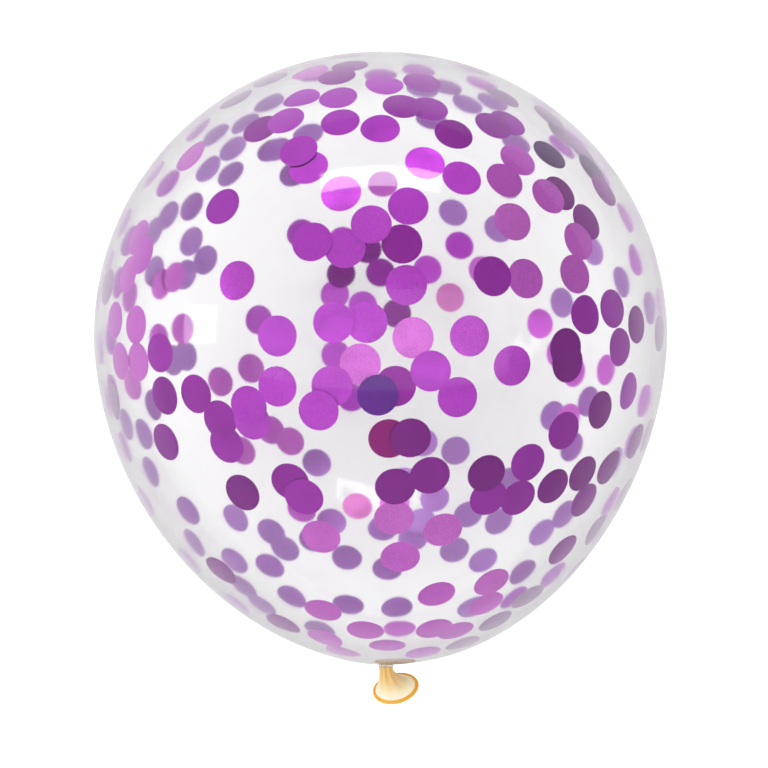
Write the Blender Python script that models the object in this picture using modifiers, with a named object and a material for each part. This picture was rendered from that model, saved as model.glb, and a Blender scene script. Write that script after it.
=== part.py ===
"""A confetti balloon: one clear latex balloon, blown up round, pinched shut at the neck and lying
on its side.

The balloon is dipped in one piece, so it is one solid: a round body, a gathered stalk where the
neck is pinched shut, and beyond the pinch the open tail, which flares to the rolled lip. The
sealed body is modelled solid. Metres, +Z up. The origin is the middle of the small flat spot that
the balloon rests on, +Y points to the crown and -Y to the neck.
"""

import math

import bmesh
import bpy
from mathutils import Matrix, Vector

# Body, as it lies: from the widest belt to the crown one way and to the pinch the other
BODY_WIDTH = 0.310
CROWN_LENGTH = 0.1534
NECK_END_LENGTH = 0.1786
FLAT_SPOT_RADIUS = 0.028

# The neck end leans to +X of the crown's axis by this much, and the stalk by a little less
NECK_SWAY = 0.0050
STALK_SWAY = 0.0028
STALK_SWAY_REACH = 0.008  # the length of body over which one turns into the other

# How full each half of the body's outline is: 2 is an ellipse, and more is squarer
CROWN_FULLNESS = 2.01
NECK_END_FULLNESS = 1.88

# Neck: the stalk of gathered rubber and the fillet that joins it to the body
STALK_RADIUS = 0.0042
STALK_LENGTH = 0.0030
COLLAR_FILLET = 0.0025
PLEAT_COUNT = 8
PLEAT_DEPTH = 0.0012

# Tail: the open end of the neck, from the stalk to the middle of the lip
TAIL_LENGTH = 0.0137
TAIL_FLARE = 1.2  # power of the flare: 1 is a cone, and more opens later
TAIL_WALL = 0.0005
THROAT_DEPTH = 0.0090  # how far the tail is hollow behind the lip
TAIL_DROOP = math.radians(54)  # how far the tail hangs down at its lip
TAIL_LEAN = math.radians(16)  # and how far it hangs out to +X
LIP_WIDTH = 0.0262
LIP_HEIGHT = 0.0186
LIP_SHIFT = 0.0036  # the lip is pulled this far out to +X of the tail's middle
LIP_THICKNESS = 0.0023  # of the rolled bead

# Fineness of the mesh
TURNS = 64
BODY_RINGS = 17
FILLET_RINGS = 3
TAIL_RINGS = 5
BEAD_RINGS = 9

BODY_RADIUS = BODY_WIDTH / 2
COLLAR_RADIUS = STALK_RADIUS + COLLAR_FILLET
BEAD_RADIUS = LIP_THICKNESS / 2
LIP_MIDDLE_RADIUS = LIP_WIDTH / 2 - BEAD_RADIUS
COLLAR_ANGLE = math.asin((COLLAR_RADIUS / BODY_RADIUS) ** (NECK_END_FULLNESS / 2))
COLLAR_START = NECK_END_LENGTH * math.cos(COLLAR_ANGLE) ** (2 / NECK_END_FULLNESS)
STALK_START = COLLAR_START + COLLAR_FILLET
TAIL_START = STALK_START + STALK_LENGTH
LIP_MIDDLE = TAIL_START + TAIL_LENGTH


def clear_scene():
    for thing in list(bpy.data.objects):
        bpy.data.objects.remove(thing, do_unlink=True)


def share(value, start, end):
    """How far value has come from start to end, held between 0 and 1."""
    return min(max((value - start) / (end - start), 0.0), 1.0)


def ease(value, start, end):
    """The same, easing in and out."""
    t = share(value, start, end)
    return t * t * (3 - 2 * t)


def half_body(length, fullness, angles):
    """One half of the body's outline, as pairs of radius and distance from the widest belt."""
    power = 2 / fullness
    return [
        (BODY_RADIUS * max(math.sin(a), 0) ** power, length * max(math.cos(a), 0) ** power)
        for a in angles
    ]


def body_profile():
    """From the crown, over the widest belt, to where the collar's fillet begins."""
    quarter = math.pi / 2
    crown = [quarter * i / BODY_RINGS for i in range(BODY_RINGS)]
    neck_end = [quarter + (COLLAR_ANGLE - quarter) * i / BODY_RINGS for i in range(BODY_RINGS + 1)]
    outline = [(r, -along) for r, along in half_body(CROWN_LENGTH, CROWN_FULLNESS, crown)]
    return outline + half_body(NECK_END_LENGTH, NECK_END_FULLNESS, neck_end)


def collar_profile():
    """The fillet's quarter round, and the straight stalk down to where the tail starts."""
    arc = []
    for i in range(1, FILLET_RINGS + 1):
        a = math.pi / 2 * i / FILLET_RINGS
        arc.append((COLLAR_RADIUS - COLLAR_FILLET * math.sin(a), STALK_START - COLLAR_FILLET * math.cos(a)))
    return arc + [(STALK_RADIUS, (STALK_START + TAIL_START) / 2), (STALK_RADIUS, TAIL_START)]


def flare_radius(along):
    t = share(along, TAIL_START, LIP_MIDDLE)
    return STALK_RADIUS + (LIP_MIDDLE_RADIUS - STALK_RADIUS) * t**TAIL_FLARE


def tail_profile():
    """Down the outside of the tail, round the rolled bead, and back up the inside to the throat."""
    wall_end = LIP_MIDDLE - 1.4 * BEAD_RADIUS
    stations = [TAIL_START + (wall_end - TAIL_START) * i / TAIL_RINGS for i in range(1, TAIL_RINGS + 1)]
    outside = [(flare_radius(along), along) for along in stations]

    # The wall meets the bead along this direction, and the bead turns all the way round from it.
    back = math.atan2(wall_end - LIP_MIDDLE, flare_radius(wall_end) - LIP_MIDDLE_RADIUS)
    gap = math.asin(TAIL_WALL / 2 / BEAD_RADIUS)
    turn = 2 * math.pi - 2 * gap
    angles = [back + gap + turn * i / BEAD_RINGS for i in range(BEAD_RINGS + 1)]
    bead = [
        (LIP_MIDDLE_RADIUS + BEAD_RADIUS * math.cos(a), LIP_MIDDLE + BEAD_RADIUS * math.sin(a))
        for a in angles
    ]

    throat = LIP_MIDDLE - THROAT_DEPTH
    inside = []
    for i in range(TAIL_RINGS, -1, -1):
        t = i / TAIL_RINGS
        along = throat + (wall_end - throat) * t
        rounding = math.sqrt(1 - (1 - t) ** 2)
        inside.append(((flare_radius(along) - TAIL_WALL) * rounding, along))
    return outside + bead + inside


def turned(name, profile):
    """The mesh that a profile of radius and distance sweeps round Z, with the crown at +Z."""
    outline = bpy.data.meshes.new(name)
    points = [(radius, 0, -along) for radius, along in profile]
    outline.from_pydata(points, [(i, i + 1) for i in range(len(points) - 1)], [])
    former = bpy.data.objects.new(name + "_profile", outline)
    bpy.context.scene.collection.objects.link(former)
    screw = former.modifiers.new("turn", "SCREW")
    screw.axis = "Z"
    screw.angle = 2 * math.pi
    screw.steps = screw.render_steps = TURNS
    screw.use_merge_vertices = True
    screw.merge_threshold = 0.00001
    evaluated = former.evaluated_get(bpy.context.evaluated_depsgraph_get())
    mesh = bpy.data.meshes.new_from_object(evaluated)
    mesh.name = name
    bpy.data.objects.remove(former, do_unlink=True)
    return mesh


def gathered(x, y, along):
    """The neck's rubber drawn into pleats, deepest on the stalk and gone at the body and the lip."""
    radius = math.hypot(x, y)
    strength = ease(along, COLLAR_START, STALK_START) * (1 - ease(along, TAIL_START, LIP_MIDDLE))
    groove = 0.5 + 0.5 * math.cos(PLEAT_COUNT * math.atan2(y, x))
    depth = PLEAT_DEPTH * strength * groove * min(radius / STALK_RADIUS, 1)
    scale = 1 - depth / max(radius, STALK_RADIUS)
    return x * scale, y * scale


def spread(x, y, along):
    """The lip pressed oval and pulled to one side."""
    grown = ease(along, STALK_START, LIP_MIDDLE)
    return x + LIP_SHIFT * grown, y * (1 + (LIP_HEIGHT / LIP_WIDTH - 1) * grown)


def drooped(x, y, along):
    """The tail bent down and a little to one side, on an arc that starts where the stalk starts."""
    length = LIP_MIDDLE - STALK_START
    past = along - STALK_START
    if past <= 0:
        return Vector((x, y, -along))
    angle = TAIL_DROOP * min(past / length, 1)
    arc_radius = length / TAIL_DROOP
    beyond = max(past - length, 0)

    # The bend goes towards a direction between local +Y, which is down, and +X.
    bent = x * math.sin(TAIL_LEAN) + y * math.cos(TAIL_LEAN)
    across = x * math.cos(TAIL_LEAN) - y * math.sin(TAIL_LEAN)
    forward = STALK_START + (arc_radius - bent) * math.sin(angle) + beyond * math.cos(angle)
    bent = arc_radius - (arc_radius - bent) * math.cos(angle) + beyond * math.sin(angle)
    x = bent * math.sin(TAIL_LEAN) + across * math.cos(TAIL_LEAN)
    y = bent * math.cos(TAIL_LEAN) - across * math.sin(TAIL_LEAN)
    return Vector((x, y, -forward))


def sway(along):
    """How far the balloon's middle stands to +X, at this distance from the widest belt."""
    body = NECK_SWAY * share(along, 0, NECK_END_LENGTH) ** 3
    return body + (STALK_SWAY - body) * ease(along, COLLAR_START - STALK_SWAY_REACH, COLLAR_START)


def shape_balloon(mesh):
    """Gathers, spreads and bends the neck, and leans the neck end to one side."""
    for vertex in mesh.vertices:
        x, y, z = vertex.co
        along = -z
        if along > COLLAR_START:
            x, y = gathered(x, y, along)
            x, y = spread(x, y, along)
            vertex.co = drooped(x, y, along)
        vertex.co.x += sway(along)


def lay_down(mesh):
    """Lays the balloon along Y with its neck to -Y, and presses the flat spot at Z = 0."""
    axis_height = math.sqrt(BODY_RADIUS**2 - FLAT_SPOT_RADIUS**2)
    mesh.transform(Matrix.Translation((0, 0, axis_height)) @ Matrix.Rotation(-math.pi / 2, 4, "X"))
    work = bmesh.new()
    work.from_mesh(mesh)
    everything = work.verts[:] + work.edges[:] + work.faces[:]
    bmesh.ops.bisect_plane(
        work, geom=everything, dist=1e-6, plane_co=(0, 0, 0), plane_no=(0, 0, 1), clear_inner=True
    )
    rim = [edge for edge in work.edges if edge.is_boundary]
    bmesh.ops.holes_fill(work, edges=rim)
    bmesh.ops.recalc_face_normals(work, faces=work.faces)
    work.to_mesh(mesh)
    work.free()


def clear_latex():
    material = bpy.data.materials.new("clear_latex")
    material.use_nodes = True
    shader = material.node_tree.nodes["Principled BSDF"]
    shader.inputs["Base Color"].default_value = (0.93, 0.94, 0.94, 1)
    shader.inputs["Roughness"].default_value = 0.08
    shader.inputs["Metallic"].default_value = 0
    shader.inputs["Transmission Weight"].default_value = 0.9
    return material


def latex_balloon():
    profile = body_profile() + collar_profile() + tail_profile()
    mesh = turned("latex_balloon", profile)
    shape_balloon(mesh)
    lay_down(mesh)
    mesh.shade_smooth()
    mesh.set_sharp_from_angle(angle=math.radians(35))
    mesh.materials.append(clear_latex())
    return bpy.data.objects.new("latex_balloon", mesh)


def build():
    clear_scene()
    collection = bpy.data.collections.new("confetti_balloon")
    bpy.context.scene.collection.children.link(collection)
    collection.objects.link(latex_balloon())


build()
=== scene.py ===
"""A confetti balloon: clear latex blown up round and pinched shut, with purple foil discs inside.

It lies on its side, with the crown at +Y and the neck at -Y, and the camera looks down on it.
"""

import math
import random

import bmesh
import bpy
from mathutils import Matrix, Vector


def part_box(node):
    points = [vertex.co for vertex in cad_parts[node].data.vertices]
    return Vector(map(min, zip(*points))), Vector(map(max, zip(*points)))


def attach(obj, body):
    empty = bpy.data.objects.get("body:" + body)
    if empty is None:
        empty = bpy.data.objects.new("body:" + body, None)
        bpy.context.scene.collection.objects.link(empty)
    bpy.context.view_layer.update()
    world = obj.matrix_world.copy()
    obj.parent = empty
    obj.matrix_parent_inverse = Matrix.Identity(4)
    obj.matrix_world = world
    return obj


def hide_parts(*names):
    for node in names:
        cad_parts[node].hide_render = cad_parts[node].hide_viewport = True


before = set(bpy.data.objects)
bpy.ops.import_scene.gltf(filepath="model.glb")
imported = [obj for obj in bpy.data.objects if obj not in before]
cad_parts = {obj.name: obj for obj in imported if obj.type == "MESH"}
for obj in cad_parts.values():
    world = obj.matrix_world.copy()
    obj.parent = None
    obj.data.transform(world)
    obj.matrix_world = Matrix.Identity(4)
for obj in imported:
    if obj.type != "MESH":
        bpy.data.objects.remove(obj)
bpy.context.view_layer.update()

# The skin is one dipping of latex. Blown up, the body is a clear film. The neck is gathered and
# pinched into a stalk, and beyond the pinch the unstretched tail flares to its rolled lip, where
# the rubber keeps its own amber.
lowest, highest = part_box("latex_balloon")
BODY_RADIUS = (highest.x - lowest.x) / 2
CROWN_LENGTH = highest.y
NECK_END_LENGTH = 0.1786
CROWN_FULLNESS = 2.01  # 2 is an ellipse, and more is squarer
NECK_END_FULLNESS = 1.88
FLAT_SPOT_RADIUS = 0.028
AXIS_HEIGHT = math.sqrt(BODY_RADIUS**2 - FLAT_SPOT_RADIUS**2)
FILM_THICKNESS = 0.00012
NECK_SWAY = 0.0050  # how far the neck end leans to +X of the crown's axis
STALK_SWAY = 0.0028  # and how far the stalk does
STALK_SWAY_REACH = 0.008  # the length of body over which one turns into the other

STALK_RADIUS = 0.0042
STALK_LENGTH = 0.0030
COLLAR_FILLET = 0.0025
PLEAT_COUNT = 8
PLEAT_DEPTH = 0.0012
TAIL_LENGTH = 0.0137
TAIL_FLARE = 1.2  # power of the flare: 1 is a cone, and more opens later
TAIL_WALL = 0.0005
WALL_STOP = 1.4  # bead radii between the end of the tail's wall and the lip's middle
THROAT_DEPTH = 0.0090
TAIL_DROOP = math.radians(54)
TAIL_LEAN = math.radians(16)
LIP_WIDTH = 0.0262
LIP_HEIGHT = 0.0186
LIP_SHIFT = 0.0036
BEAD_RADIUS = 0.0023 / 2
BEAD_REACH = 1.05  # bead radii from the bead's middle that still count as bead
STALK_THICKNESS = 0.6  # of the stalk's rubber, as a share of the bead's

COLLAR_RADIUS = STALK_RADIUS + COLLAR_FILLET
LIP_MIDDLE_RADIUS = LIP_WIDTH / 2 - BEAD_RADIUS
COLLAR_ANGLE = math.asin((COLLAR_RADIUS / BODY_RADIUS) ** (NECK_END_FULLNESS / 2))
COLLAR_START = NECK_END_LENGTH * math.cos(COLLAR_ANGLE) ** (2 / NECK_END_FULLNESS)
STALK_START = COLLAR_START + COLLAR_FILLET
TAIL_START = STALK_START + STALK_LENGTH
LIP_MIDDLE = TAIL_START + TAIL_LENGTH

SKIN_TURNS = 160
CROWN_RINGS = 44
NECK_END_RINGS = 56
COLLAR_RINGS = 8
STALK_RINGS = 3
TAIL_RINGS = 14
BEAD_RINGS = 18
AMBER_FROM = STALK_START - 0.0001  # the rubber is amber from here to the lip


def share(value, start, end):
    """How far value has come from start to end, held between 0 and 1."""
    return min(max((value - start) / (end - start), 0.0), 1.0)


def ease(value, start, end):
    """The same, easing in and out."""
    t = share(value, start, end)
    return t * t * (3 - 2 * t)


def half_shape(towards_crown):
    """The length and the fullness of the crown's half of the body, or of the neck's."""
    return (CROWN_LENGTH, CROWN_FULLNESS) if towards_crown else (NECK_END_LENGTH, NECK_END_FULLNESS)


def body_point(angle):
    """Radius and distance from the widest belt, where the angle is 90 degrees at the crown, 0 at
    the belt and -90 at the neck."""
    length, fullness = half_shape(angle > 0)
    radius = BODY_RADIUS * max(math.cos(angle), 0) ** (2 / fullness) if angle < math.pi / 2 else 0
    return radius, -math.copysign(length * abs(math.sin(angle)) ** (2 / fullness), angle)


def body_profile(last_angle):
    """From the crown, over the widest belt, to the given angle of the neck end."""
    quarter = math.pi / 2
    crown = [quarter * (1 - i / CROWN_RINGS) for i in range(CROWN_RINGS)]
    neck_end = [last_angle * i / NECK_END_RINGS for i in range(NECK_END_RINGS + 1)]
    return [body_point(angle) for angle in crown + neck_end]


def flare_radius(along):
    """The tail's outside radius at a distance from the widest belt."""
    t = share(along, TAIL_START, LIP_MIDDLE)
    return STALK_RADIUS + (LIP_MIDDLE_RADIUS - STALK_RADIUS) * t**TAIL_FLARE


def neck_profile():
    """The collar's fillet, the stalk, the tail's outside, the rolled bead and the tail's inside."""
    points = []
    for i in range(1, COLLAR_RINGS + 1):
        a = math.pi / 2 * i / COLLAR_RINGS
        radius = COLLAR_RADIUS - COLLAR_FILLET * math.sin(a)
        points.append((radius, STALK_START - COLLAR_FILLET * math.cos(a)))
    for i in range(1, STALK_RINGS + 1):
        points.append((STALK_RADIUS, STALK_START + STALK_LENGTH * i / STALK_RINGS))

    wall_end = LIP_MIDDLE - WALL_STOP * BEAD_RADIUS
    for i in range(1, TAIL_RINGS + 1):
        along = TAIL_START + (wall_end - TAIL_START) * i / TAIL_RINGS
        points.append((flare_radius(along), along))

    # The wall meets the bead along this direction, and the bead turns all the way round from it.
    back = math.atan2(wall_end - LIP_MIDDLE, flare_radius(wall_end) - LIP_MIDDLE_RADIUS)
    gap = math.asin(TAIL_WALL / 2 / BEAD_RADIUS)
    for i in range(BEAD_RINGS + 1):
        a = back + gap + (2 * math.pi - 2 * gap) * i / BEAD_RINGS
        radius = LIP_MIDDLE_RADIUS + BEAD_RADIUS * math.cos(a)
        points.append((radius, LIP_MIDDLE + BEAD_RADIUS * math.sin(a)))

    throat = LIP_MIDDLE - THROAT_DEPTH
    for i in range(TAIL_RINGS, -1, -1):
        t = i / TAIL_RINGS
        along = throat + (wall_end - throat) * t
        points.append(((flare_radius(along) - TAIL_WALL) * math.sqrt(1 - (1 - t) ** 2), along))
    return points


def gathered(x, y, along):
    """The neck's rubber drawn into pleats, deepest on the stalk and gone at the body and the lip."""
    radius = math.hypot(x, y)
    strength = ease(along, COLLAR_START, STALK_START) * (1 - ease(along, TAIL_START, LIP_MIDDLE))
    groove = 0.5 + 0.5 * math.cos(PLEAT_COUNT * math.atan2(y, x))
    depth = PLEAT_DEPTH * strength * groove * min(radius / STALK_RADIUS, 1)
    scale = 1 - depth / max(radius, STALK_RADIUS)
    return x * scale, y * scale


def drooped(x, y, along):
    """The tail bent down and a little to one side, on an arc that starts where the stalk starts."""
    length = LIP_MIDDLE - STALK_START
    past = max(along - STALK_START, 0)
    angle = TAIL_DROOP * min(past / length, 1)
    arc_radius = length / TAIL_DROOP
    beyond = max(past - length, 0)

    # The bend goes towards a direction between local +Y, which is down, and +X.
    bent = x * math.sin(TAIL_LEAN) + y * math.cos(TAIL_LEAN)
    across = x * math.cos(TAIL_LEAN) - y * math.sin(TAIL_LEAN)
    forward = min(along, STALK_START) + (arc_radius - bent) * math.sin(angle) + beyond * math.cos(angle)
    bent = arc_radius - (arc_radius - bent) * math.cos(angle) + beyond * math.sin(angle)
    x = bent * math.sin(TAIL_LEAN) + across * math.cos(TAIL_LEAN)
    y = bent * math.cos(TAIL_LEAN) - across * math.sin(TAIL_LEAN)
    return x, y, forward


def sway(along):
    """How far the balloon's middle stands to +X, at this distance from the widest belt."""
    body = NECK_SWAY * share(along, 0, NECK_END_LENGTH) ** 3
    return body + (STALK_SWAY - body) * ease(along, COLLAR_START - STALK_SWAY_REACH, COLLAR_START)


def on_balloon(radius, along, bearing):
    """The place in the frame of a point of the profile at a bearing: 0 is up and 90 degrees +X."""
    x, y = radius * math.sin(bearing), -radius * math.cos(bearing)
    middle = sway(along)
    if along > COLLAR_START:
        x, y = gathered(x, y, along)
        grown = ease(along, STALK_START, LIP_MIDDLE)
        x += LIP_SHIFT * grown
        y *= 1 + (LIP_HEIGHT / LIP_WIDTH - 1) * grown
        x, y, along = drooped(x, y, along)
    return Vector((x + middle, -along, AXIS_HEIGHT - y))


def rubber_thickness(radius, along):
    """How thick the neck's rubber is, from 0 for the stretched funnel to 1 for the rolled bead."""
    in_bead = math.hypot(radius - LIP_MIDDLE_RADIUS, along - LIP_MIDDLE) < BEAD_REACH * BEAD_RADIUS
    return 1.0 if in_bead else STALK_THICKNESS * (1 - ease(along, TAIL_START, LIP_MIDDLE))


def turned(profile, floor, inwards):
    """The surface that a profile sweeps round the balloon, pressed flat at the floor, with how thick
    the rubber is stored on its points."""
    work = bmesh.new()
    thickness = work.verts.layers.float.new("thickness")
    rings = []
    for radius, along in profile:
        turns = SKIN_TURNS if radius > 0 else 1
        places = [on_balloon(radius, along, 2 * math.pi * i / turns) for i in range(turns)]
        rings.append([work.verts.new((place.x, place.y, max(place.z, floor))) for place in places])
        for vertex in rings[-1]:
            vertex[thickness] = rubber_thickness(radius, along)
    for (radius, along), ring, following in zip(profile, rings, rings[1:]):
        for i in range(SKIN_TURNS):
            j = (i + 1) % SKIN_TURNS
            corners = [ring[i % len(ring)], ring[j % len(ring)]]
            corners += [following[j % len(following)], following[i % len(following)]]
            face = work.faces.new(list(dict.fromkeys(corners)))
            face.smooth = True
            face.material_index = int(along > AMBER_FROM)
    bmesh.ops.recalc_face_normals(work, faces=work.faces)
    if inwards:
        bmesh.ops.reverse_faces(work, faces=work.faces)
    mesh = bpy.data.meshes.new("turned")
    work.to_mesh(mesh)
    work.free()
    return mesh


def make_skin():
    """The skin's outside, and the air's side of the film, which is closed at the pinch."""
    body = body_profile(-(math.pi / 2 - COLLAR_ANGLE))
    nearer = 1 - FILM_THICKNESS / NECK_END_LENGTH
    within = [(max(radius - FILM_THICKNESS, 0), along * nearer) for radius, along in body]
    work = bmesh.new()
    for mesh in (
        turned(body + neck_profile(), 0, inwards=False),
        turned(within + [(0, within[-1][1])], FILM_THICKNESS, inwards=True),
    ):
        work.from_mesh(mesh)
        bpy.data.meshes.remove(mesh)
    mesh = bpy.data.meshes.new("balloon_skin")
    work.to_mesh(mesh)
    work.free()
    return mesh


def add_node(tree, kind, inputs=None, **settings):
    """A node with its settings, and with some of its inputs set by name or number."""
    node = tree.nodes.new(kind)
    for name, value in settings.items():
        setattr(node, name, value)
    for name, value in (inputs or {}).items():
        node.inputs[name].default_value = value
    return node


def add_ramp(tree, *stops):
    """A ramp through pairs of place and colour, of which the first is at 0 and the last at 1."""
    ramp = tree.nodes.new("ShaderNodeValToRGB")
    first, *others, last = stops
    ramp.color_ramp.elements[0].color = (*first[1], 1)
    ramp.color_ramp.elements[1].color = (*last[1], 1)
    for place, colour in others:
        ramp.color_ramp.elements.new(place).color = (*colour, 1)
    return ramp


def new_material(name, **values):
    """A material with its node tree and its shader, which has the given plain values. An underscore
    in a value's name stands for a space."""
    material = bpy.data.materials.new(name)
    material.use_nodes = True
    shader = material.node_tree.nodes["Principled BSDF"]
    for socket, value in values.items():
        shader.inputs[socket.replace("_", " ")].default_value = value
    return material, material.node_tree, shader


def film_material():
    """Clear film with a faint grey tint, which is painted shading that greys all seen through it, and
    cloudier where it is seen edge on, where the cloud's mid grey is painted shading on the rim.
    """
    material, tree, shader = new_material(
        "clear_film",
        Base_Color=(0.875, 0.875, 0.875, 1),
        Roughness=0.05,
        Metallic=0,
        IOR=1.33,
        Transmission_Weight=1,
    )
    # The cloud's mid grey is painted shade, darkening the film towards its rim.
    haze_and_rim_shade = add_node(tree, "ShaderNodeBsdfTranslucent", {"Color": (0.5, 0.5, 0.5, 1)})
    edge = add_node(tree, "ShaderNodeLayerWeight", {"Blend": 0.5})
    amount = add_node(tree, "ShaderNodeMapRange", {"From Min": 0.4, "To Min": 0.02, "To Max": 0.42})
    mix = tree.nodes.new("ShaderNodeMixShader")
    link = tree.links.new
    link(edge.outputs["Facing"], amount.inputs["Value"])
    link(amount.outputs[0], mix.inputs["Fac"])
    link(shader.outputs[0], mix.inputs[1])
    link(haze_and_rim_shade.outputs[0], mix.inputs[2])
    link(mix.outputs[0], tree.nodes["Material Output"].inputs["Surface"])
    return material


def amber_material():
    """Unstretched rubber: creamy where it is thin, amber where it is thick, and cloudy within."""
    material, tree, shader = new_material(
        "amber_latex",
        Metallic=0,
        Subsurface_Weight=0.85,
        Subsurface_Radius=(1.0, 0.7, 0.35),
        Subsurface_Scale=0.003,
    )
    thickness = add_node(tree, "ShaderNodeAttribute", attribute_name="thickness")
    place = tree.nodes.new("ShaderNodeTexCoord")
    clouds = add_node(tree, "ShaderNodeTexNoise", {"Scale": 420, "Detail": 4})
    clouded = add_node(tree, "ShaderNodeMath", {1: 0.24}, operation="MULTIPLY_ADD")
    centred = add_node(tree, "ShaderNodeMath", {1: 0.12}, operation="SUBTRACT")
    ramp = add_ramp(tree, (0, (0.97, 0.86, 0.72)), (0.5, (0.93, 0.68, 0.30)), (1, (0.95, 0.47, 0.04)))
    sheen = add_node(tree, "ShaderNodeMapRange", {"To Min": 0.24, "To Max": 0.42})
    bump = add_node(tree, "ShaderNodeBump", {"Strength": 0.35, "Distance": 0.0002})
    link = tree.links.new
    link(place.outputs["Object"], clouds.inputs["Vector"])
    link(clouds.outputs["Fac"], clouded.inputs[0])
    link(thickness.outputs["Fac"], clouded.inputs[2])
    link(clouded.outputs[0], centred.inputs[0])
    link(centred.outputs[0], ramp.inputs[0])
    link(ramp.outputs[0], shader.inputs["Base Color"])
    link(clouds.outputs["Fac"], sheen.inputs["Value"])
    link(sheen.outputs[0], shader.inputs["Roughness"])
    link(clouds.outputs["Fac"], bump.inputs["Height"])
    link(bump.outputs[0], shader.inputs["Normal"])
    return material


skin = bpy.data.objects.new("balloon_skin", make_skin())
skin.data.materials.append(film_material())
skin.data.materials.append(amber_material())
bpy.context.scene.collection.objects.link(skin)
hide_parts("latex_balloon")
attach(skin, "root")

# The confetti is punched from thin metallised film, purple on both sides. The loose discs cling to
# the inside of the latex by static, each a little curled, some over others.
DISC_RADIUS = 0.0094
FOIL_THICKNESS = 0.0001
CLING_GAP = 0.0004  # between the film and a disc that lies on it
LAYER_GAP = 0.0006  # from one disc to the next that lies on it
MOST_CURL = 0.0008
MOST_TILT = math.radians(4)
DISC_STEPS = 13  # points along the edge of a disc from one side to the other
WELD_DISTANCE = 0.00001  # within which points fall together
CONFETTI_SEED = 7
INNER_RADIUS = BODY_RADIUS - FILM_THICKNESS

# Where the discs lie, in millimetres to the right and towards the crown, seen from straight above,
# as read from the photograph. On the upper wall each lies under those listed before it, and
# on the lower wall over them.
# In both tables each group is named for the tone its discs are given. Apart from plain, which is the
# foil's own purple, these tones are painted reflections, painted highlights, painted haze and painted
# shade.
UPPER_DISCS = (
    ("navy_reflection", ((-1, -31),)),
    ("dark_reflection", ((49.5, -67.5), (111.5, 71), (14, -50.5), (23, -68), (7, -73.5))),
    ("ink_reflection", ((83, 86.5), (106.5, 82))),
    (
        "plain",
        (
            (-47, -4), (-47, -27), (-21, 2), (-6, 2), (12, 19), (-4, 47), (13, 56), (-31, 39),
            (-16, 36), (-18, 62), (-38.5, 84), (-33.5, 75.5), (-66.5, 22), (-74.5, 58), (41, -4),
            (38, 70), (21, 77.5), (23, -20), (35.5, -32), (61, -17.5), (-61, -36), (-60, -43),
            (-28, -38), (-22, -27), (-45.5, 101), (-19, 98.5), (0, 95), (-20.5, 113), (2, 121),
        ),
    ),
    (
        "deep_reflection",
        (
            (51.5, 23.5), (-76, -43), (-73.5, -55), (51, -79.5), (66, -80.5), (-35.5, -78.5),
            (-105.5, -11), (-88.5, -31), (70, -63), (87, -48), (97.5, 7), (112, 10.5),
            (116.5, -8), (123, -29.5), (-58, 98), (10.5, 107.5), (23.5, 107), (54.5, 99),
            (62.5, 102), (35, 93), (20.5, 123),
        ),
    ),
    (
        "bright_highlight",
        (
            (15, -5), (-9, -17), (6.5, -89), (9.5, -108), (-28, -98), (-28.5, -138), (-7.5, -149),
            (27.5, -128.5), (29.5, -94.5), (54.5, -123), (27, -148.5), (53, -136), (-132.5, 6),
            (-119, 3), (-129, -14.5), (-118.5, -15), (-94, 87), (-116.5, 37), (-120.5, 47),
            (-125.5, 28.5), (38.5, -151.5), (3.5, -159.5), (-28.5, -156), (22, -165),
            (-19.5, -165.5), (-35.5, 131.5), (58.5, 70), (66, 81.5), (80, 63.5), (62, 50),
            (67.5, 23), (92, 26), (95, 42.5),
        ),
    ),
    (
        "dark_reflection",
        (
            (10, 38), (7, -27), (-42, -71.5), (83, -75), (87, -9), (88.5, -16), (-103.5, -31.5),
            (-104, -54), (-65.5, -77.5), (106.5, -38.5), (98.5, -69.5), (114, -67.5), (129.5, -55),
            (91.5, -109), (100.5, 53), (86.5, 66), (126.5, 3.5), (-80.5, -120), (101, -83.5),
            (-21.5, 126.5), (-15.5, 135), (-50, -149),
        ),
    ),
    (
        "pale_haze",
        (
            (61.5, 119), (85.5, 109.5), (92, 100), (103, 92.5), (48.5, 137),
            (75.5, -135), (59, -147.5), (43, -161.5), (111, -101), (-57, 131), (-18, 145.5),
            (19, 145.5), (-74, 119.5), (144, 0), (139.5, -53), (128, -84), (-140, 24), (-136, -35),
        ),
    ),
    ("maroon_reflection", ((4, -51),)),
    ("curled", ((-39, 115),)),
)
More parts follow.
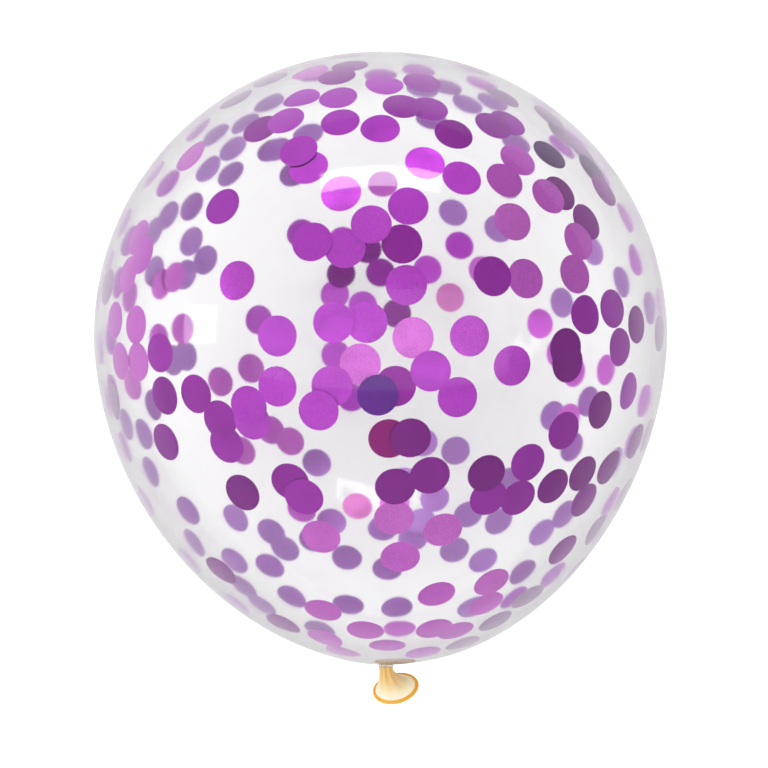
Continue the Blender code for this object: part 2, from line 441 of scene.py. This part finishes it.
LOWER_DISCS = (
    (
        "dusky_reflection",
        (
            (-102, 101), (-90.5, 100.5), (-113, 80), (-125, 73), (-133, 63), (-115, 60.5),
            (-108.5, 50.5), (-120, 41), (-134.5, 41), (-66, 115), (-54, 104), (45.5, 82.5),
            (73.5, 71.5), (77, 96), (112, 24.5), (126.5, 54), (141.5, 34), (152.5, 17),
            (-120, -8.5), (-127, -11.5), (-135.5, -38.5), (-138, -55), (-145, -49),
            (-132.5, -76.5), (79, -86.5), (106, -45.5), (115.5, -64), (125.5, -36.5),
            (-113, -100), (-88, -107), (-67, -116), (-58.5, -126), (-66.5, -134.5), (-86, -129.5),
            (-79, -142), (-68, -152), (-107, -117), (-52.5, -151), (-31, -112), (-41.5, -122),
            (-21, -132.5), (1, -116), (20, -121.5), (25, -112), (34, -98.5), (54, -107),
            (72, -110), (45, -127.5), (61.5, -132), (95.5, -114), (108.5, -103), (83, -136),
            (53.5, -156), (9.5, -159), (-19.5, -157), (-35, -166.5), (-87.5, 113), (-95, 117),
            (-44, 125), (-64.5, 135.5), (-79, 125.5), (24, 145), (30, 133), (37.5, 145),
            (50.5, 137.5), (64, 136), (80, 117), (134.5, -71), (-63, 116), (4, -138.5),
            (-41, -76), (14.5, -87.5), (27, -63.5), (47.5, -68.5),
        ),
    ),
    (
        "plain",
        (
            (-78, 15), (-51, 70), (-25, 66), (-30, 32), (-12, 25), (50, 62.5), (30, 48),
            (-29.5, -7), (-19.5, -34.5),
        ),
    ),
    ("dark_reflection", ((-26, 45.5), (-9, 61), (-0.5, 46.5), (-34, -25), (10, 20))),
    (
        "bright_highlight",
        (
            (-132, 34), (-126, 39), (-122, 8), (-146, 25), (64.5, 46.5), (100, 12), (-134.5, 1),
            (-145, -26), (-101, -24.5), (-83, -16), (-86.5, -67.5), (-70, -55), (-58, -62.5),
            (115, -47), (118.5, -18.5), (110.5, -6.5), (135, -17.5), (-49.5, -104), (8.5, -101.5),
            (1, 100), (11, -168.5),
        ),
    ),
    ("pink_highlight", ((-29, -29), (-15, -103), (44.5, 30))),
)
# Where each group lies along the foil's ramp of colours, from the least to the most. Plain is the
# foil's own purple; the other tones are painted reflections, painted highlights, painted haze and
# painted shade, standing for what each disc would mirror at its place and tilt.
PAINTED_LIGHT_RANGES = {
    "navy_reflection": (0.0, 0.0),
    "maroon_reflection": (0.1, 0.1),
    "ink_reflection": (0.2, 0.2),
    "pale_haze": (0.26, 0.26),
    "dusky_reflection": (0.29, 0.315),
    "dark_reflection": (0.34, 0.45),
    "deep_reflection": (0.45, 0.5),
    "plain": (0.55, 0.75),
    "curled": (0.6, 0.6),
    "bright_highlight": (0.82, 0.9),
    "pink_highlight": (1.0, 1.0),
}
# How freely a disc tilts and curls, where a disc by itself has 1.
LAID_ON_ANOTHER = 0.2
CURLED_UP = 2.5

# Round the balloon's sides, where the photograph sees the film edge on, the discs are scattered.
SIDE_DISCS = 46
SIDE_BAND = math.radians(13)  # how far they go above and below the axis
SIDE_REACH = 0.985  # of the way from the widest belt to either end
SIDE_SPACING = 2.1  # disc radii from one to the nearest other
CLEAR_OF_NECK = -0.150  # no scattered disc lies nearer to the neck than this
SHORT_OF_END = 0.9999  # keeps a place off the very end or edge of the film


def wall_radius(y):
    """The inside radius of the film at a distance from the widest belt towards the crown."""
    length, fullness = half_shape(y > 0)
    return INNER_RADIUS * (1 - min(abs(y) / length, SHORT_OF_END) ** fullness) ** (1 / fullness)


def floor_height(x, y):
    """How high the film's inside stands over the floor, round the flat spot."""
    return max(AXIS_HEIGHT - math.sqrt(wall_radius(y) ** 2 - x**2), FILM_THICKNESS)


def on_flat_spot(x, y):
    """How a stiff disc lies near the flat spot, where its edge rests on the film as it rises."""
    right, left = floor_height(x + DISC_RADIUS, y), floor_height(x - DISC_RADIUS, y)
    ahead, behind = floor_height(x, y + DISC_RADIUS), floor_height(x, y - DISC_RADIUS)
    height = max(right + left, ahead + behind) / 2
    away = Vector((left - right, behind - ahead, 2 * DISC_RADIUS))
    return Vector((x, y, height)), away.normalized()


def on_wall(x, y, side):
    """A place on the inside of the film, above or below the axis, and the way from it to the air."""
    if side < 0 and math.hypot(x, y) < FLAT_SPOT_RADIUS + DISC_RADIUS:
        return on_flat_spot(x, y)
    length, fullness = half_shape(y > 0)
    t = min(abs(y) / length, SHORT_OF_END)
    radius = wall_radius(y)
    off = x - sway(-y)
    off = math.copysign(min(abs(off), radius * SHORT_OF_END), off)
    height = side * math.sqrt(radius**2 - off**2)
    steepness = (radius / INNER_RADIUS) ** (fullness - 1)
    inward = Vector((
        -off / radius * steepness,
        -math.copysign(t ** (fullness - 1) * INNER_RADIUS / length, y),
        -height / radius * steepness,
    ))
    return Vector((off + sway(-y), y, AXIS_HEIGHT + height)), inward.normalized()


def confetti_points():
    """A point for each disc, with the way from the film into the air, how many discs lie between it
    and the film, how freely it tilts and curls, and its place along the foil's ramp of painted light."""
    rng = random.Random(CONFETTI_SEED)
    laid = []
    for side, groups in ((1, UPPER_DISCS), (-1, LOWER_DISCS)):
        for painted_light, places in groups:
            for x, y in places:
                place, inward = on_wall(x / 1000, y / 1000, side)
                touched = [disc for disc in laid if (disc["place"] - place).length < 2 * DISC_RADIUS]
                laid.append({
                    "place": place,
                    "inward": inward,
                    "level": 1 + max((disc["level"] for disc in touched), default=-1),
                    "slack": CURLED_UP if painted_light == "curled" else 1,
                    "painted_light": rng.uniform(*PAINTED_LIGHT_RANGES[painted_light]),
                })
                for disc in touched:
                    disc["slack"] = laid[-1]["slack"] = LAID_ON_ANOTHER

    full = len(laid) + SIDE_DISCS
    while len(laid) < full:
        bearing = rng.uniform(0, 2 * math.pi)
        height = BODY_RADIUS * math.sin(rng.uniform(-SIDE_BAND, SIDE_BAND))
        y = math.sin(bearing) * half_shape(math.sin(bearing) > 0)[0] * SIDE_REACH
        x = math.copysign(math.sqrt(max(wall_radius(y) ** 2 - height**2, 0)), math.cos(bearing))
        place, inward = on_wall(x, y, math.copysign(1, height))
        nearest = min((disc["place"] - place).length for disc in laid)
        if nearest > SIDE_SPACING * DISC_RADIUS and y > CLEAR_OF_NECK:
            painted_light = rng.uniform(*PAINTED_LIGHT_RANGES["plain"])
            laid.append({"place": place, "inward": inward, "level": 0, "slack": 1, "painted_light": painted_light})

    mesh = bpy.data.meshes.new("confetti_points")
    mesh.from_pydata([disc["place"] for disc in laid], [], [])
    inwards = mesh.attributes.new("inward", "FLOAT_VECTOR", "POINT")
    inwards.data.foreach_set("vector", [part for disc in laid for part in disc["inward"]])
    for name in ("level", "slack", "painted_light"):
        values = mesh.attributes.new(name, "FLOAT", "POINT")
        values.data.foreach_set("value", [disc[name] for disc in laid])
    return mesh


def feed(tree, socket, value):
    """Gives a socket a plain value, or links it to another node's output."""
    if isinstance(value, bpy.types.NodeSocket):
        tree.links.new(value, socket)
    else:
        socket.default_value = value


def result(tree, kind, values, **settings):
    """What a node puts out, with values or other outputs fed to its inputs by name or number."""
    node = add_node(tree, kind, **settings)
    for name, value in values.items():
        feed(tree, node.inputs[name], value)
    return node.outputs[0]


def worked_out(tree, operation, *values):
    """A Math node's result."""
    return result(tree, "ShaderNodeMath", dict(enumerate(values)), operation=operation)


def stretched(tree, vector, amount):
    """A vector times an amount."""
    values = {0: vector, "Scale": amount}
    return result(tree, "ShaderNodeVectorMath", values, operation="SCALE")


def store(tree, geometry, name, value):
    """Geometry with a value kept on its points under a name."""
    values = {"Geometry": geometry, "Name": name, "Value": value}
    kind = "GeometryNodeStoreNamedAttribute"
    return result(tree, kind, values, data_type="FLOAT", domain="POINT")


def kept(tree, name, data_type="FLOAT"):
    """The value that was kept on the points under a name."""
    return result(tree, "GeometryNodeInputNamedAttribute", {"Name": name}, data_type=data_type)


def welded(tree, geometry):
    """Geometry with the points that fall together made one."""
    values = {"Geometry": geometry, "Distance": WELD_DISTANCE}
    return result(tree, "GeometryNodeMergeByDistance", values)


def places_now(tree):
    """Where each point lies at this stage, as the outputs X, Y and Z."""
    place = tree.nodes.new("GeometryNodeInputPosition")
    split = tree.nodes.new("ShaderNodeSeparateXYZ")
    tree.links.new(place.outputs[0], split.inputs[0])
    return split.outputs


def at_random(tree, seed, step, most):
    """A number for each disc from 0 to the most, with a seed of its own for each step."""
    node = add_node(tree, "FunctionNodeRandomValue", data_type="FLOAT")
    feed(tree, node.inputs["Seed"], worked_out(tree, "ADD", seed, step))
    for name, value in (("Min", 0.0), ("Max", most)):
        socket = next(s for s in node.inputs if s.name == name and s.type == "VALUE")
        feed(tree, socket, value)
    return next(s for s in node.outputs if s.type == "VALUE")


def punched_disc(tree, given):
    """One disc: a strip of a grid pressed round, thickened, with its edges closed."""
    size = {"Size X": 2, "Size Y": 2, "Vertices X": DISC_STEPS, "Vertices Y": 2}
    grid = result(tree, "GeometryNodeMeshGrid", size)
    on_grid = places_now(tree)
    angle = worked_out(tree, "MULTIPLY", on_grid["X"], math.pi / 2)
    width = worked_out(tree, "MULTIPLY", worked_out(tree, "COSINE", angle), on_grid["Y"])
    flat = {"X": worked_out(tree, "SINE", angle), "Y": width}
    edge = stretched(tree, result(tree, "ShaderNodeCombineXYZ", flat), given["Disc Radius"])
    pressed = result(tree, "GeometryNodeSetPosition", {"Geometry": grid, "Position": edge})

    # How far across the disc each point lies, from -1 to 1, for the curl.
    across = worked_out(tree, "DIVIDE", places_now(tree)["X"], given["Disc Radius"])
    pressed = welded(tree, store(tree, pressed, "across", across))

    thickened = {"Mesh": pressed, "Offset Scale": given["Foil Thickness"], "Individual": False}
    upper = result(tree, "GeometryNodeExtrudeMesh", thickened, mode="FACES")
    under = result(tree, "GeometryNodeFlipFaces", {"Mesh": pressed})
    both = tree.nodes.new("GeometryNodeJoinGeometry")
    tree.links.new(upper, both.inputs[0])
    tree.links.new(under, both.inputs[0])
    return welded(tree, both.outputs[0])


def confetti_tree():
    """Lays a disc on each point, lifted off the film, spun, tilted and curled."""
    tree = bpy.data.node_groups.new("confetti", "GeometryNodeTree")
    for name, kind, value in (
        ("Geometry", "NodeSocketGeometry", None),
        ("Disc Radius", "NodeSocketFloat", 0.01),
        ("Foil Thickness", "NodeSocketFloat", 0.0001),
        ("Gap", "NodeSocketFloat", 0.0005),
        ("Layer", "NodeSocketFloat", 0.0005),
        ("Most Curl", "NodeSocketFloat", 0.001),
        ("Most Tilt", "NodeSocketFloat", 0.1),
        ("Seed", "NodeSocketInt", 1),
        ("Foil", "NodeSocketMaterial", None),
    ):
        socket = tree.interface.new_socket(name, in_out="INPUT", socket_type=kind)
        if value is not None:
            socket.default_value = value
    tree.interface.new_socket("Geometry", in_out="OUTPUT", socket_type="NodeSocketGeometry")
    given = tree.nodes.new("NodeGroupInput").outputs
    out = tree.nodes.new("NodeGroupOutput")

    slack = kept(tree, "slack")
    tilt = worked_out(tree, "MULTIPLY", at_random(tree, given["Seed"], 1, given["Most Tilt"]), slack)
    spin = at_random(tree, given["Seed"], 2, 2 * math.pi)
    curl = worked_out(tree, "MULTIPLY", at_random(tree, given["Seed"], 3, given["Most Curl"]), slack)

    # A disc keeps off the film by the gap, by the discs under it and by its own tilt.
    inward = kept(tree, "inward", "FLOAT_VECTOR")
    under_it = worked_out(tree, "MULTIPLY_ADD", kept(tree, "level"), given["Layer"], given["Gap"])
    lift = worked_out(tree, "MULTIPLY_ADD", worked_out(tree, "SINE", tilt), given["Disc Radius"], under_it)
    away = stretched(tree, inward, lift)
    lifted = result(tree, "GeometryNodeSetPosition", {"Geometry": given["Geometry"], "Offset": away})

    turn = result(tree, "FunctionNodeAlignRotationToVector", {"Vector": inward}, axis="Z")
    for axis, angle in (("Z", spin), ("X", tilt)):
        vector = result(tree, "ShaderNodeCombineXYZ", {axis: angle})
        own_turn = result(tree, "FunctionNodeEulerToRotation", {0: vector})
        turns = {0: turn, 1: own_turn}
        turn = result(tree, "FunctionNodeRotateRotation", turns, rotation_space="LOCAL")

    laid = {
        "Points": store(tree, lifted, "curl", curl),
        "Instance": punched_disc(tree, given),
        "Rotation": turn,
    }
    instances = result(tree, "GeometryNodeInstanceOnPoints", laid)
    real = result(tree, "GeometryNodeRealizeInstances", {0: instances})

    across = kept(tree, "across")
    rise = worked_out(tree, "MULTIPLY", worked_out(tree, "MULTIPLY", across, across), kept(tree, "curl"))
    bend = stretched(tree, inward, rise)
    bent = result(tree, "GeometryNodeSetPosition", {"Geometry": real, "Offset": bend})
    painted = result(tree, "GeometryNodeSetMaterial", {"Geometry": bent, "Material": given["Foil"]})
    tree.links.new(painted, out.inputs[0])
    return tree


def foil_material():
    """Metallised film with a fine rolled grain, in the tone each disc's group gives it along a ramp that
    paints the reflections, highlights and shading that its place would give.
    """
    material, tree, shader = new_material(
        "purple_foil", Metallic=0.8, Specular_Tint=(0.8, 0.35, 0.9, 1)
    )
    # Each disc's place along the ramp. The ramp holds the foil's own purple together with painted
    # reflections, painted highlights, painted haze and painted shade: bluer, redder, greyer, darker and
    # pinker copies of it that stand for what each disc would mirror.
    painted_light = add_node(tree, "ShaderNodeAttribute", attribute_name="painted_light")
    ramp = add_ramp(
        tree,
        (0, (0.18, 0.02, 0.42)),
        (0.1, (0.46, 0.005, 0.30)),
        (0.2, (0.13, 0.04, 0.22)),
        (0.26, (0.56, 0.38, 0.62)),
        (0.3, (0.68, 0.34, 0.90)),
        (0.34, (0.32, 0.01, 0.36)),
        (0.45, (0.48, 0.02, 0.56)),
        (0.55, (0.70, 0.06, 0.86)),
        (0.75, (0.82, 0.10, 0.95)),
        (0.9, (1.00, 0.25, 1.00)),
        (1, (1.00, 0.30, 0.80)),
    )
    middle = {"From Min": 0.3, "From Max": 0.7}
    place = tree.nodes.new("ShaderNodeTexCoord")
    grain = add_node(tree, "ShaderNodeTexNoise", {"Scale": 1400, "Detail": 3})
    fleck = add_node(tree, "ShaderNodeMapRange", middle | {"To Min": 0.82, "To Max": 1.12})
    flecked = add_node(tree, "ShaderNodeVectorMath", operation="SCALE")
    waves = add_node(tree, "ShaderNodeTexNoise", {"Scale": 95})
    dull = add_node(tree, "ShaderNodeMapRange", middle | {"To Min": 0.34, "To Max": 0.52})
    bump = add_node(tree, "ShaderNodeBump", {"Strength": 0.4, "Distance": 0.0001})
    ripple = add_node(tree, "ShaderNodeBump", {"Strength": 0.5, "Distance": 0.0006})
    link = tree.links.new
    link(painted_light.outputs["Fac"], ramp.inputs[0])
    link(place.outputs["Object"], grain.inputs["Vector"])
    link(place.outputs["Object"], waves.inputs["Vector"])
    link(grain.outputs["Fac"], fleck.inputs["Value"])
    link(ramp.outputs[0], flecked.inputs[0])
    link(fleck.outputs[0], flecked.inputs["Scale"])
    link(flecked.outputs[0], shader.inputs["Base Color"])
    link(waves.outputs["Fac"], dull.inputs["Value"])
    link(dull.outputs[0], shader.inputs["Roughness"])
    link(waves.outputs["Fac"], ripple.inputs["Height"])
    link(grain.outputs["Fac"], bump.inputs["Height"])
    link(ripple.outputs[0], bump.inputs["Normal"])
    link(bump.outputs[0], shader.inputs["Normal"])
    return material


def make_confetti():
    """All the discs in one plain mesh."""
    maker = bpy.data.objects.new("confetti_maker", confetti_points())
    bpy.context.scene.collection.objects.link(maker)
    modifier = maker.modifiers.new("confetti", "NODES")
    modifier.node_group = confetti_tree()
    settings = {
        "Disc Radius": DISC_RADIUS,
        "Foil Thickness": FOIL_THICKNESS,
        "Gap": CLING_GAP,
        "Layer": LAYER_GAP,
        "Most Curl": MOST_CURL,
        "Most Tilt": MOST_TILT,
        "Seed": CONFETTI_SEED,
        "Foil": foil_material(),
    }
    for item in modifier.node_group.interface.items_tree:
        if item.in_out == "INPUT" and item.name in settings:
            modifier[item.identifier] = settings[item.name]
    evaluated = maker.evaluated_get(bpy.context.evaluated_depsgraph_get())
    mesh = bpy.data.meshes.new_from_object(evaluated)
    mesh.name = "confetti"
    mesh.materials.clear()
    mesh.materials.append(settings["Foil"])
    bpy.data.objects.remove(maker, do_unlink=True)
    return mesh


confetti = bpy.data.objects.new("confetti", make_confetti())
bpy.context.scene.collection.objects.link(confetti)
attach(confetti, "root")

# The floor is a plain white sheet. It glows round the balloon, so that it burns out to white as the
# photograph's background does.
FLOOR_HALF_WIDTH = 6
FLOOR_DROP = 0.0005  # under the balloon, so that the two don't touch
GLOW_REACH = 0.8

floor_mesh = bpy.data.meshes.new("floor")
work = bmesh.new()
bmesh.ops.create_grid(work, x_segments=1, y_segments=1, size=FLOOR_HALF_WIDTH)
work.to_mesh(floor_mesh)
work.free()
floor = bpy.data.objects.new("floor", floor_mesh)
floor.location.z = -FLOOR_DROP
bpy.context.scene.collection.objects.link(floor)
white, tree, shader = new_material(
    "white_floor", Base_Color=(0.9, 0.9, 0.9, 1), Roughness=0.9, Emission_Color=(1, 1, 1, 1)
)
spot = tree.nodes.new("ShaderNodeTexCoord")
far = add_node(tree, "ShaderNodeVectorMath", operation="LENGTH")
glow = add_node(tree, "ShaderNodeMapRange", {"From Max": GLOW_REACH, "To Min": 0.78, "To Max": 0.1})
tree.links.new(spot.outputs["Object"], far.inputs[0])
tree.links.new(far.outputs["Value"], glow.inputs["Value"])
tree.links.new(glow.outputs[0], shader.inputs["Emission Strength"])
floor_mesh.materials.append(white)

# Three soft lamps: a long one overhead, a low one past the crown, and a small one at the left that
# the film mirrors as a window.


def softbox(name, place, width, height, watts):
    """A soft lamp that faces the balloon's middle."""
    light = bpy.data.lights.new(name, "AREA")
    light.shape = "RECTANGLE"
    light.size = width
    light.size_y = height
    light.energy = watts
    lamp = bpy.data.objects.new(name, light)
    lamp.location = place
    towards = Vector((0, 0, AXIS_HEIGHT)) - Vector(place)
    lamp.rotation_euler = towards.to_track_quat("-Z", "Y").to_euler()
    lamp.visible_camera = False
    bpy.context.scene.collection.objects.link(lamp)


softbox("overhead_softbox", (0, -0.05, 1.6), 3.2, 0.9, 7)
softbox("crown_softbox", (0, 1.8, 1.2), 1.4, 0.32, 12)
softbox("window", (-1.8, 0.1, 0.82), 0.4, 0.5, 3)

# The studio round them is white, and dimmer past the crown and to the right.
world = bpy.data.worlds.new("studio")
bpy.context.scene.world = world
world.use_nodes = True
tree = world.node_tree
background = tree.nodes["Background"]
background.inputs["Color"].default_value = (1, 1, 1, 1)
heading = tree.nodes.new("ShaderNodeTexCoord")
bearing = add_node(tree, "ShaderNodeVectorMath", {1: (0.6, 0.8, 0)}, operation="DOT_PRODUCT")
dimming = add_node(tree, "ShaderNodeMapRange", {"From Min": -1, "To Min": 1.0, "To Max": 0.42})
tree.links.new(heading.outputs["Generated"], bearing.inputs[0])
tree.links.new(bearing.outputs["Value"], dimming.inputs["Value"])
tree.links.new(dimming.outputs[0], background.inputs["Strength"])
bpy.context.scene.view_settings.view_transform = "Standard"

# The camera looks straight down on the balloon, which gives the photograph's view of its front. How
# far off it stands is a guess, and the lens is chosen to fill the frame as the photograph does.
CAMERA_PLACE = (0.0018, -0.0258, 1.0025)
LENS = 72.5  # millimetres, as the sensor's width is
SENSOR_WIDTH = 36

camera_data = bpy.data.cameras.new("camera")
camera_data.lens = LENS
camera_data.sensor_width = SENSOR_WIDTH
camera = bpy.data.objects.new("camera", camera_data)
camera.location = CAMERA_PLACE
bpy.context.scene.collection.objects.link(camera)
bpy.context.scene.camera = camera
